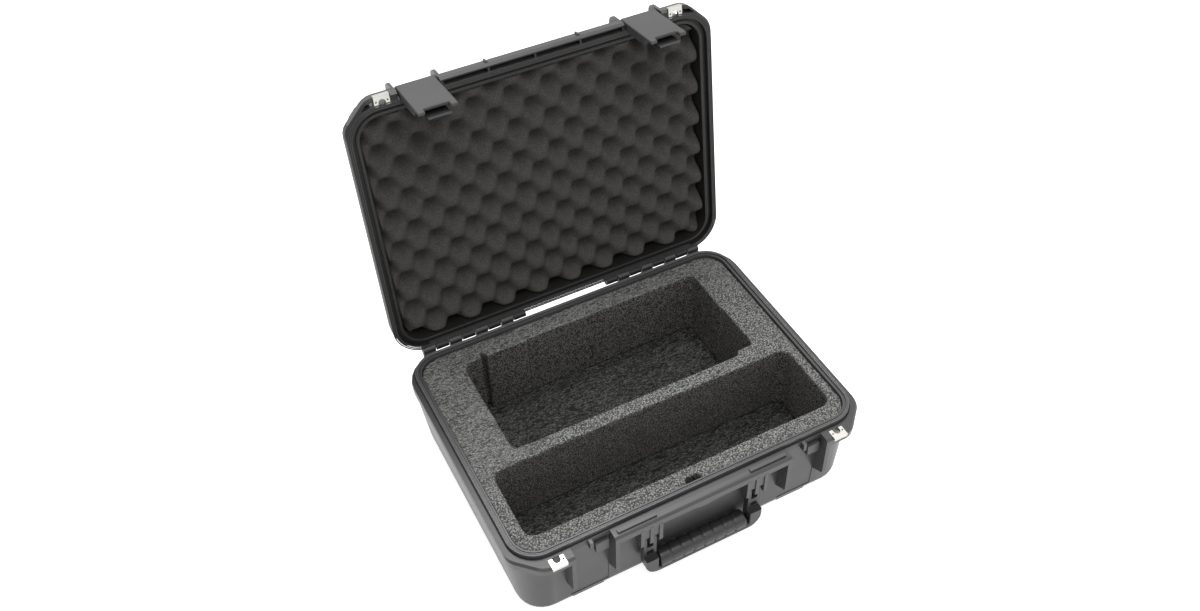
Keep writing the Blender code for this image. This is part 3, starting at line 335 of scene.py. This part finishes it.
def cellFoam(name, kind):
    look = foamLook
    spec = look[kind]
    material, tree, shader = newMaterial(name, look["roughness"])
    creased = creaseShare(tree, spec["crease"])
    cells = addCells(tree, spec["cell"]).outputs["Distance"]
    grains = addNoise(tree, spec["cell"] * look["grainSize"], 3.0, 0.7).outputs["Fac"]
    wormScale = spec["cell"] * look["wormSize"]
    worms = addNoise(tree, wormScale, 2.0, 0.55, look["creaseStretch"], look["wormTwist"]).outputs["Fac"]
    grainy = calc(tree, "MULTIPLY_ADD", grains, look["grainShare"], cells)
    grainy = calc(tree, "ADD", calc(tree, "MULTIPLY", worms, look["wormShare"]), grainy)
    away = calc(tree, "ABSOLUTE", calc(tree, "SUBTRACT", worms, 0.5))
    away = calc(tree, "MULTIPLY", away, look["foldSharpness"])
    fold = calc(tree, "MAXIMUM", calc(tree, "SUBTRACT", 1.0, away), 0.0)
    folded = calc(tree, "MULTIPLY", calc(tree, "MULTIPLY", fold, grains), look["foldShare"])
    folded = calc(tree, "ADD", calc(tree, "MULTIPLY_ADD", cells, look["foldCells"], look["foldBase"]), folded)
    blend = calc(tree, "MULTIPLY_ADD", calc(tree, "SUBTRACT", folded, grainy), creased, grainy)
    tones = [spec["light"], spec["middle"], spec["dark"]]
    colour = addRamp(tree, blend, list(zip(look["stops"], tones))).outputs["Color"]
    if kind == "wall":
        colour = seamShade(tree, colour)
    tree.links.new(colour, shader.inputs["Base Color"])
    addBump(tree, shader, [(worms, spec["wormStrength"], look["wormDepth"]),
                           (cells, look["cellStrength"], look["cellDepth"]),
                           (grains, look["grainStrength"], look["grainDepth"])])
    shader.inputs["Specular IOR Level"].default_value = look["shine"]
    return material


waveLook = {
    "roughness": 0.95, "shine": 0.1, "poreScale": 800.0, "poreStrength": 0.5, "poreDepth": 0.0008,
    "dark": (0.32, (0.036, 0.0340, 0.0314)), "light": (0.70, (0.128, 0.120, 0.112)),
}


def waveFoam(name):
    material, tree, shader = newMaterial(name, waveLook["roughness"])
    pores = addNoise(tree, waveLook["poreScale"], 4.0, 0.75).outputs["Fac"]
    tint = addRamp(tree, pores, [waveLook["dark"], waveLook["light"]])
    tree.links.new(tint.outputs["Color"], shader.inputs["Base Color"])
    addBump(tree, shader, [(pores, waveLook["poreStrength"], waveLook["poreDepth"])])
    shader.inputs["Specular IOR Level"].default_value = waveLook["shine"]
    return material


def dress(names, material):
    for name in names:
        mesh = nodes[name].data
        mesh.materials.clear()
        mesh.materials.append(material)


# Pieces made from merged copies of the CAD nodes
toHinge = Matrix.Translation((0, hingeY, rimHeight))
lidTurn = toHinge @ Matrix.Rotation(-lidAngle, 4, "X") @ toHinge.inverted()
lidUnturn = lidTurn.inverted()
cadMerge = {"distance": 3e-6, "flatAngle": 0.5}


def mergedCopy(node):
    shape = bmesh.new()
    shape.from_mesh(nodes[node].data)
    bmesh.ops.remove_doubles(shape, verts=shape.verts, dist=cadMerge["distance"])
    flat = math.radians(cadMerge["flatAngle"])
    bmesh.ops.dissolve_limit(shape, angle_limit=flat, verts=shape.verts, edges=shape.edges)
    return shape


def newPiece(name, shape, materials):
    mesh = bpy.data.meshes.new(name)
    shape.to_mesh(mesh)
    shape.free()
    for material in materials:
        mesh.materials.append(material)
    piece = bpy.data.objects.new(name, mesh)
    bpy.context.scene.collection.objects.link(piece)
    return piece


def settle(piece):
    view = bpy.context.evaluated_depsgraph_get()
    mesh = bpy.data.meshes.new_from_object(piece.evaluated_get(view))
    piece.modifiers.clear()
    piece.data = mesh
    return piece


edgeLook = {"segments": 2, "angle": 28.0, "weight": 80}


def roundEdges(piece, width):
    bevel = piece.modifiers.new("edgeRound", "BEVEL")
    bevel.width = width
    bevel.segments = edgeLook["segments"]
    bevel.limit_method = "ANGLE"
    bevel.angle_limit = math.radians(edgeLook["angle"])
    bevel.miter_outer = "MITER_ARC"
    settle(piece)
    piece.data.shade_smooth()
    level = piece.modifiers.new("evenShade", "WEIGHTED_NORMAL")
    level.keep_sharp = True
    level.weight = edgeLook["weight"]
    settle(piece)


def finish(piece, body, slot, *replaced):
    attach(piece, body)
    if replaced:
        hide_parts(*replaced)


def paintFaces(piece, rule):
    for face in piece.data.polygons:
        face.material_index = rule(face.center, face.normal)


shellEdges = {
    "round": 0.0007, "rimTop": 0.1262, "innerHalf": (0.2530, 0.1868), "faceFront": -0.2030,
    "bandHalf": (0.2522, 0.1861), "bandTop": 0.1315, "skirtTop": 0.1440, "shelfFront": -0.1890,
    "overhang": -0.2, "underside": -0.3, "upright": 0.75, "sloping": 0.5,
}


def baseZone(centre, normal):   # the wall; the flat rim in painted shade, a darker copy of the shell plastic; the band inside its groove and the front shelf in painted highlight, a lighter copy
    if centre.z < shellEdges["rimTop"] or normal.z < shellEdges["overhang"]:
        return 0
    half = shellEdges["bandHalf"]
    shelf = centre.y < shellEdges["shelfFront"]
    within = abs(centre.x) < half[0] and abs(centre.y) < half[1]
    return 2 if shelf or within and centre.z > shellEdges["bandTop"] else 1


def lidZone(centre, normal):   # the underside, the sides of the skirt and the inside get painted shade, a darker copy of the shell plastic
    edges = shellEdges
    place = lidUnturn @ centre
    facing = lidUnturn.to_3x3() @ normal
    within = abs(place.x) < edges["innerHalf"][0] and abs(place.y) < edges["innerHalf"][1]
    inward = facing.x * place.x + facing.y * place.y < 0.0
    underside = facing.z < edges["underside"] and place.y > edges["faceFront"]
    skirtSide = place.z < edges["skirtTop"] and abs(facing.x) > edges["upright"] and not within
    inside = within and inward and facing.z < edges["sloping"]
    return 1 if underside or skirtSide or inside else 0


def makeShells():
    lower = newPiece("baseShellMoulded", mergedCopy("base_shell"), [shellPlastic, rimShadePaint, bandHighlightPaint])
    roundEdges(lower, shellEdges["round"])
    paintFaces(lower, baseZone)
    finish(lower, "base", "shell_plastic", "base_shell")
    upper = newPiece("lidShellMoulded", mergedCopy("lid_shell"), [shellPlastic, lidShadePaint])
    roundEdges(upper, shellEdges["round"])
    paintFaces(upper, lidZone)
    finish(upper, "lid", "shell_plastic", "lid_shell")


smallParts = {"latchRound": 0.0006, "handleRound": 0.0005, "steelRound": 0.00025, "lipTop": 0.0668}


# the tab above the lip is painted shade, near-black for its deep recess; the lip at the foot keeps the latch
# colour
def triggerZone(centre, normal):
    return 1 if (lidUnturn @ centre).z < smallParts["lipTop"] else 0


def makeSmallParts():
    for side in ("left", "right"):
        lever = newPiece("latchLever_" + side, mergedCopy("latch_lever_" + side), [latchPlastic])
        roundEdges(lever, smallParts["latchRound"])
        finish(lever, "latch_" + side, "latch_plastic", "latch_lever_" + side)
        node = "latch_trigger_" + side
        trigger = newPiece("latchTrigger_" + side, mergedCopy(node), [triggerShadePaint, latchPlastic])
        roundEdges(trigger, smallParts["latchRound"])
        paintFaces(trigger, triggerZone)
        finish(trigger, "trigger_" + side, "latch_plastic", node)
        for level in ("base", "lid"):
            node = "padlock_plate_%s_%s" % (level, side)
            plate = newPiece("padlockPlate_%s_%s" % (level, side), mergedCopy(node), [steel])
            roundEdges(plate, smallParts["steelRound"])
            finish(plate, level, "stainless", node)
    frameCopy = newPiece("handleFrameMoulded", mergedCopy("handle_frame"), [framePlastic])
    roundEdges(frameCopy, smallParts["handleRound"])
    finish(frameCopy, "handle", "shell_plastic", "handle_frame")


# Foam: an even mesh of the cut block, its edges softened and its faces a little uneven
blockFoamForm = {
    "grid": 0.0026, "smoothing": 1, "seed": (3.1, 7.7, 1.3), "unevenness": 0.0006, "waveSize": 14.0,
    "fineUnevenness": 0.00025, "fineSize": 160.0, "fill": 0.95, "inwardOnly": False,
}
floorFoamForm = {
    "grid": 0.0040, "smoothing": 1, "seed": (0.0, 0.0, 0.0), "unevenness": 0.0007, "waveSize": 60.0,
    "fineUnevenness": 0.0, "fineSize": 300.0, "fill": 0.95, "inwardOnly": True,
}
foamTopFacing = 0.55


def evenMesh(piece, grid, smoothing):
    remesh = piece.modifiers.new("evenGrid", "REMESH")
    remesh.mode = "VOXEL"
    remesh.voxel_size = grid
    relax = piece.modifiers.new("softEdges", "SMOOTH")
    relax.factor = 0.5
    relax.iterations = smoothing
    settle(piece)


def unevenFaces(piece, form):
    mesh = piece.data
    shift = Vector(form["seed"])
    moved = []
    for vert in mesh.vertices:
        push = noise.noise(vert.co * form["waveSize"] + shift) * form["unevenness"]
        push += noise.noise(vert.co * form["fineSize"] + shift) * form["fineUnevenness"]
        moved.append(vert.co + vert.normal * (-abs(push) if form["inwardOnly"] else push))
    for vert, place in zip(mesh.vertices, moved):
        vert.co = place


def foamZone(centre, normal):
    return 0 if normal.z > foamTopFacing else 1


def makeFoamPiece(name, node, form, materials):
    foam = newPiece(name, mergedCopy(node), materials)
    evenMesh(foam, form["grid"], form["smoothing"])
    unevenFaces(foam, form)
    foam.data.materials.clear()
    for material in materials:
        foam.data.materials.append(material)
    if len(materials) > 1:
        paintFaces(foam, foamZone)
    foam.data.shade_smooth()
    finish(foam, "base", "block_foam", node)


def makeBlockFoam():
    makeFoamPiece("foamBlock", "base_foam", blockFoamForm, [foamTop, foamWall])
    makeFoamPiece("foamFloor", "foam_floor_pad", floorFoamForm, [foamFloor])


# Convoluted lid lining, grown from a rule in Geometry Nodes
liningForm = {
    "Length": 0.4806, "Depth": 0.3484, "Corner Radius": 0.0274, "Back Height": 0.1876,
    "Valley Height": 0.1645, "Peak": 0.0272, "Broad Peaks": 1.7,
    "Wave Length": 0.05335, "Wave Depth": 0.0497, "Phase X": 0.0203, "Phase Y": 0.1760,
    "Unevenness": 0.0012, "Wander Scale": 26.0, "Spacing": 0.0026, "Merge Distance": 0.00001,
}


def newTree(name, inputs):
    tree = bpy.data.node_groups.new(name, "GeometryNodeTree")
    tree.interface.new_socket("Geometry", in_out="INPUT", socket_type="NodeSocketGeometry")
    tree.interface.new_socket("Geometry", in_out="OUTPUT", socket_type="NodeSocketGeometry")
    for label, value in inputs.items():
        socket = tree.interface.new_socket(label, in_out="INPUT", socket_type="NodeSocketFloat")
        socket.default_value = value
    tree.interface.new_socket("Finish", in_out="INPUT", socket_type="NodeSocketMaterial")
    return tree, tree.nodes.new("NodeGroupInput"), tree.nodes.new("NodeGroupOutput")


def joinXyz(tree, x, y, z):
    node = tree.nodes.new("ShaderNodeCombineXYZ")
    for socket, value in zip(node.inputs, (x, y, z)):
        feed(tree, socket, value)
    return node.outputs[0]


def moveTo(tree, mesh, place, selection=None):
    node = tree.nodes.new("GeometryNodeSetPosition")
    tree.links.new(mesh, node.inputs["Geometry"])
    tree.links.new(place, node.inputs["Position"])
    if selection:
        tree.links.new(selection, node.inputs["Selection"])
    return node.outputs[0]


def runTree(piece, tree, values, material):
    grow = piece.modifiers.new("grow", "NODES")
    grow.node_group = tree
    for item in tree.interface.items_tree:
        if item.item_type != "SOCKET" or item.in_out != "INPUT":
            continue
        if item.name in values:
            grow[item.identifier] = values[item.name]
        elif item.name == "Finish":
            grow[item.identifier] = material
    settle(piece)


def endTree(tree, mesh, group, out):
    real = tree.nodes.new("GeometryNodeRealizeInstances")
    paint = tree.nodes.new("GeometryNodeSetMaterial")
    tree.links.new(mesh, real.inputs["Geometry"])
    tree.links.new(real.outputs[0], paint.inputs["Geometry"])
    tree.links.new(group.outputs["Finish"], paint.inputs["Material"])
    tree.links.new(paint.outputs[0], out.inputs[0])


def roundedAxis(tree, along, half, corner, reach, longest):
    inner = calc(tree, "SUBTRACT", half, corner)
    size = calc(tree, "ABSOLUTE", along)
    flat = calc(tree, "MINIMUM", size, inner)
    beyond = calc(tree, "MULTIPLY", reach, longest)
    return calc(tree, "MULTIPLY", calc(tree, "ADD", flat, beyond), calc(tree, "SIGN", along))


def liningTree():
    tree, group, out = newTree("waveLining", liningForm)
    given = group.outputs
    grid = tree.nodes.new("GeometryNodeMeshGrid")
    tree.links.new(given["Length"], grid.inputs["Size X"])
    tree.links.new(given["Depth"], grid.inputs["Size Y"])
    for label, side in (("Vertices X", "Length"), ("Vertices Y", "Depth")):
        count = calc(tree, "DIVIDE", given[side], given["Spacing"])
        tree.links.new(count, grid.inputs[label])
    place = tree.nodes.new("GeometryNodeInputPosition")
    parts = tree.nodes.new("ShaderNodeSeparateXYZ")
    tree.links.new(place.outputs[0], parts.inputs[0])
    halves = [calc(tree, "DIVIDE", given[side], 2.0) for side in ("Length", "Depth")]
    reaches = []
    for along, half in zip(parts.outputs[:2], halves):
        inner = calc(tree, "SUBTRACT", half, given["Corner Radius"])
        beyond = calc(tree, "SUBTRACT", calc(tree, "ABSOLUTE", along), inner)
        reaches.append(calc(tree, "MAXIMUM", beyond, 0.0))
    squares = [calc(tree, "MULTIPLY", reach, reach) for reach in reaches]
    length = calc(tree, "MAXIMUM", calc(tree, "SQRT", calc(tree, "ADD", *squares)), 0.0000001)
    scale = calc(tree, "DIVIDE", calc(tree, "MAXIMUM", *reaches), length)
    x, y = [roundedAxis(tree, along, half, given["Corner Radius"], reach, scale)
            for along, half, reach in zip(parts.outputs[:2], halves, reaches)]
    flat = moveTo(tree, grid.outputs["Mesh"], joinXyz(tree, x, y, given["Back Height"]))
    turned = tree.nodes.new("GeometryNodeFlipFaces")
    tree.links.new(flat, turned.inputs[0])
    walls = tree.nodes.new("GeometryNodeExtrudeMesh")
    walls.inputs["Individual"].default_value = False
    tree.links.new(turned.outputs[0], walls.inputs["Mesh"])
    walls.inputs["Offset"].default_value = (0.0, 0.0, -1.0)
    thickness = calc(tree, "SUBTRACT", given["Back Height"], given["Valley Height"])
    tree.links.new(thickness, walls.inputs["Offset Scale"])
    spot = tree.nodes.new("GeometryNodeInputPosition")
    spread = tree.nodes.new("ShaderNodeSeparateXYZ")
    tree.links.new(spot.outputs[0], spread.inputs[0])
    waves = []
    waveSides = (("Phase X", "Wave Length"), ("Phase Y", "Wave Depth"))
    for along, (phase, size) in zip(spread.outputs[:2], waveSides):
        turn = calc(tree, "DIVIDE", calc(tree, "SUBTRACT", along, given[phase]), given[size])
        waves.append(calc(tree, "COSINE", calc(tree, "MULTIPLY", turn, math.tau)))
    low = calc(tree, "DIVIDE", calc(tree, "SUBTRACT", 1.0, calc(tree, "MULTIPLY", *waves)), 2.0)
    broad = calc(tree, "POWER", calc(tree, "MAXIMUM", low, 0.0), given["Broad Peaks"])
    wave = calc(tree, "SUBTRACT", 1.0, broad)
    wander = tree.nodes.new("ShaderNodeTexNoise")
    tree.links.new(given["Wander Scale"], wander.inputs["Scale"])
    tree.links.new(spot.outputs[0], wander.inputs["Vector"])
    uneven = calc(tree, "MULTIPLY", calc(tree, "SUBTRACT", wander.outputs[0], 0.5), given["Unevenness"])
    height = calc(tree, "SUBTRACT", given["Valley Height"], calc(tree, "MULTIPLY", given["Peak"], wave))
    peaks = joinXyz(tree, *spread.outputs[:2], calc(tree, "ADD", height, uneven))
    top = moveTo(tree, walls.outputs["Mesh"], peaks, walls.outputs["Top"])
    both = tree.nodes.new("GeometryNodeJoinGeometry")
    tree.links.new(top, both.inputs[0])
    tree.links.new(flat, both.inputs[0])
    whole = tree.nodes.new("GeometryNodeMergeByDistance")
    tree.links.new(given["Merge Distance"], whole.inputs["Distance"])
    tree.links.new(both.outputs[0], whole.inputs["Geometry"])
    endTree(tree, whole.outputs[0], group, out)
    return tree


def makeLining():
    lining = newPiece("waveLining", bmesh.new(), [])
    runTree(lining, liningTree(), liningForm, foamWave)
    lining.data.transform(lidTurn)
    lining.data.shade_smooth()
    finish(lining, "lid", "wave_foam", "lid_foam")


# Round ridges that follow the rim, swept along a rounded rectangle in Geometry Nodes
ridgePath = {
    "Half Length": 0.2525, "Half Depth": 0.1864, "Corner Radius": 0.040, "Corner Steps": 16, "Ridge Sides": 8,
}
ridgeSets = {   # each row is how far outside the path, how high and how thick a ridge is
    "baseTongueRidges": {"slot": "shell_plastic", "body": "base", "rows": [
        (-0.0013, 0.1359, 0.00070), (-0.0037, 0.1359, 0.00070)]},
    "lidFlangeRidges": {"slot": "shell_plastic", "body": "lid", "rows": [
        (0.0017, 0.1315, 0.00090), (0.0042, 0.1315, 0.00090), (0.0066, 0.1315, 0.00090),
        (-0.0068, 0.13545, 0.00080)]},
    "gasketRibs": {"slot": "seal_rubber", "body": "lid", "rows": [
        (-0.0008, 0.13735, 0.00050), (-0.0021, 0.13735, 0.00050), (-0.0034, 0.13735, 0.00050)]},
}


def ridgeTree(rows):
    inputs = dict(ridgePath)
    for number, (away, height, radius) in enumerate(rows, 1):
        inputs.update({"Away %d" % number: away, "Height %d" % number: height, "Radius %d" % number: radius})
    tree, group, out = newTree("rimRidges", inputs)
    given = group.outputs
    both = tree.nodes.new("GeometryNodeJoinGeometry")
    for number in range(1, len(rows) + 1):
        away = given["Away %d" % number]
        path = tree.nodes.new("GeometryNodeCurvePrimitiveQuadrilateral")
        for label, side in (("Width", "Half Length"), ("Height", "Half Depth")):
            feed(tree, path.inputs[label], calc(tree, "MULTIPLY", calc(tree, "ADD", given[side], away), 2.0))
        corner = tree.nodes.new("GeometryNodeFilletCurve")
        corner.mode = "POLY"
        tree.links.new(path.outputs[0], corner.inputs["Curve"])
        feed(tree, corner.inputs["Radius"], calc(tree, "ADD", given["Corner Radius"], away))
        feed(tree, corner.inputs["Count"], given["Corner Steps"])
        section = tree.nodes.new("GeometryNodeCurvePrimitiveCircle")
        feed(tree, section.inputs["Resolution"], given["Ridge Sides"])
        feed(tree, section.inputs["Radius"], given["Radius %d" % number])
        sweep = tree.nodes.new("GeometryNodeCurveToMesh")
        tree.links.new(corner.outputs[0], sweep.inputs["Curve"])
        tree.links.new(section.outputs[0], sweep.inputs["Profile Curve"])
        raised = tree.nodes.new("GeometryNodeTransform")
        tree.links.new(sweep.outputs[0], raised.inputs["Geometry"])
        tree.links.new(joinXyz(tree, 0.0, 0.0, given["Height %d" % number]), raised.inputs["Translation"])
        tree.links.new(raised.outputs[0], both.inputs[0])
    endTree(tree, both.outputs[0], group, out)
    return tree, inputs


def makeRidges():
    # the rim ridges carry painted highlight, lighter than the plastic around them
    looks = {"baseTongueRidges": ridgeHighlightPaint, "lidFlangeRidges": lidRidgeHighlightPaint, "gasketRibs": sealRubber}
    for name, spec in ridgeSets.items():
        ridges = newPiece(name, bmesh.new(), [])
        tree, inputs = ridgeTree(spec["rows"])
        runTree(ridges, tree, inputs, looks[name])
        if spec["body"] == "lid":
            ridges.data.transform(lidTurn)
        ridges.data.shade_smooth()
        finish(ridges, spec["body"], spec["slot"])


# Soft grip: a round bar with ring grooves and rounded ends
gripForm = {
    "centre": (0.0, -0.1967, 0.0310), "halfLength": 0.0658, "radius": 0.0125, "endRound": 0.0030,
    "rings": 7, "ringSpan": 0.0480, "grooveDepth": 0.0013, "grooveWidth": 0.0018, "sides": 40, "steps": 260,
}


def gripRadius(along):
    form = gripForm
    size = form["radius"]
    pitch = 2 * form["ringSpan"] / (form["rings"] - 1)
    if abs(along) < form["ringSpan"] + pitch / 2:
        place = (along + form["ringSpan"]) / pitch
        fromGroove = abs(place - round(place)) * pitch
        size -= form["grooveDepth"] * math.exp(-(fromGroove / form["grooveWidth"]) ** 2 * 2)
    beyond = abs(along) - (form["halfLength"] - form["endRound"])
    if beyond > 0:
        size -= form["endRound"] * (1 - math.sqrt(max(0.0, 1 - (beyond / form["endRound"]) ** 2)))
    return size


def makeGrip():
    form = gripForm
    shape = bmesh.new()
    hub = Vector(form["centre"])
    rings = []
    for step in range(form["steps"] + 1):
        along = form["halfLength"] * (2 * step / form["steps"] - 1)
        size = gripRadius(along)
        ring = []
        for side in range(form["sides"]):
            turn = math.tau * side / form["sides"]
            ring.append(shape.verts.new(hub + Vector((along, size * math.cos(turn), size * math.sin(turn)))))
        rings.append(ring)
    for low, high in zip(rings, rings[1:]):
        for side in range(form["sides"]):
            after = (side + 1) % form["sides"]
            shape.faces.new((low[side], low[after], high[after], high[side]))
    shape.faces.new(rings[0])
    shape.faces.new(reversed(rings[-1]))
    bmesh.ops.recalc_face_normals(shape, faces=shape.faces)
    grip = newPiece("ringedGrip", shape, [gripRubber])
    grip.data.shade_smooth()
    finish(grip, "handle", "grip_rubber", "handle_grip")


print("camera and studio")
addCamera()
addStudio()
bpy.context.scene.view_settings.view_transform = "Standard"

print("materials")
shellPlastic = mouldedPlastic("shellPlastic", "shell")
latchPlastic = mouldedPlastic("latchPlastic", "latch")
sealRubber = mouldedPlastic("sealRubber", "rubber")
gripRubber = mouldedPlastic("gripRubber", "grip")
steel = brushedMetal("stainlessSheet", "sheet")
pinSteel = brushedMetal("pinSteel", "pin")
# painted shade for the base's flat rim
rimShadePaint = mouldedPlastic("rimShadePaint", "rim")
# painted shade: dark copy of the shell plastic for the lid's shaded faces
lidShadePaint = mouldedPlastic("lidShadePaint", "lidRim")
# painted shade for the sunken trigger tab
triggerShadePaint = mouldedPlastic("triggerShadePaint", "trigger")
framePlastic = mouldedPlastic("framePlastic", "frame")
# painted highlight for the base band inside the groove and the front shelf
bandHighlightPaint = mouldedPlastic("bandHighlightPaint", "band")
# painted highlight for the base and lid ridges
ridgeHighlightPaint = mouldedPlastic("ridgeHighlightPaint", "ridge")
lidRidgeHighlightPaint = mouldedPlastic("lidRidgeHighlightPaint", "lidRidge")
foamTop = cellFoam("foamTop", "top")
foamWall = cellFoam("foamWall", "wall")
foamFloor = cellFoam("foamFloor", "floor")
foamWave = waveFoam("waveFoam")
dress(["base_shell", "lid_shell", "handle_frame", "pressure_valve", "valve_nut"], shellPlastic)
dress(["latch_lever_left", "latch_lever_right", "latch_trigger_left", "latch_trigger_right"], latchPlastic)
dress(["lid_gasket"], sealRubber)
dress(["handle_grip"], gripRubber)
dress([name for name in nodes if "padlock_plate" in name], steel)
dress([name for name in nodes if "_pin_" in name], pinSteel)
dress(["base_foam", "foam_floor_pad"], foamWall)
dress(["lid_foam"], foamWave)

print("shells, latches, handle and plates")
makeShells()
makeSmallParts()
print("foam")
makeBlockFoam()
makeLining()
print("rim ridges and grip")
makeRidges()
makeGrip()
